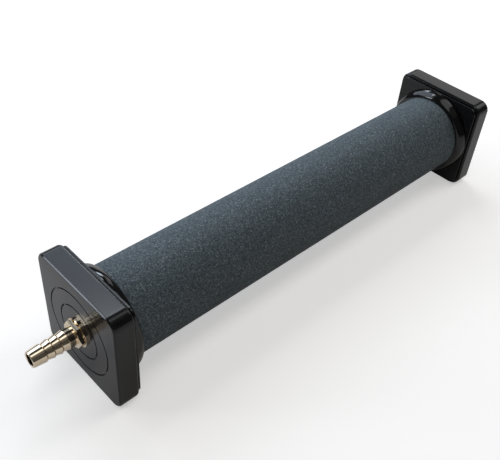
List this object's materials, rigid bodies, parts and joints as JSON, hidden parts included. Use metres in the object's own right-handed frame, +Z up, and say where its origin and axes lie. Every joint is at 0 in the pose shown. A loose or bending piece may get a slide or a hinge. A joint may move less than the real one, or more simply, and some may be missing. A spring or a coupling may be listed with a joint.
{
  "type": "cylindrical air stone",
  "caption": "Porous stone tube held between square moulded end caps, with a barbed metal inlet that takes an air hose and lets fine bubbles out through the stone.",
  "frame": {"origin": "middle of the part's bounding box in plan, at the height of the surface that both caps stand on", "axes": "+X along the stone's axis, from the barb's tip to the rear cap; +Z up, square to the caps' lower sides"},
  "size_m": [0.331, 0.064, 0.064],
  "materials": {
    "porous_stone": "sintered fine grain, matte, blue-grey",
    "cap_plastic": "black, satin gloss",
    "sealing_bead": "black, glossy, cured adhesive",
    "plated_fitting": "brass with bright nickel plating"
  },
  "bodies": {
    "root": {"stone_tube": "porous_stone", "front_end_cap": "cap_plastic", "rear_end_cap": "cap_plastic", "front_sealing_bead": "sealing_bead", "rear_sealing_bead": "sealing_bead", "hose_barb_fitting": "plated_fitting"}
  },
  "joints": []
}
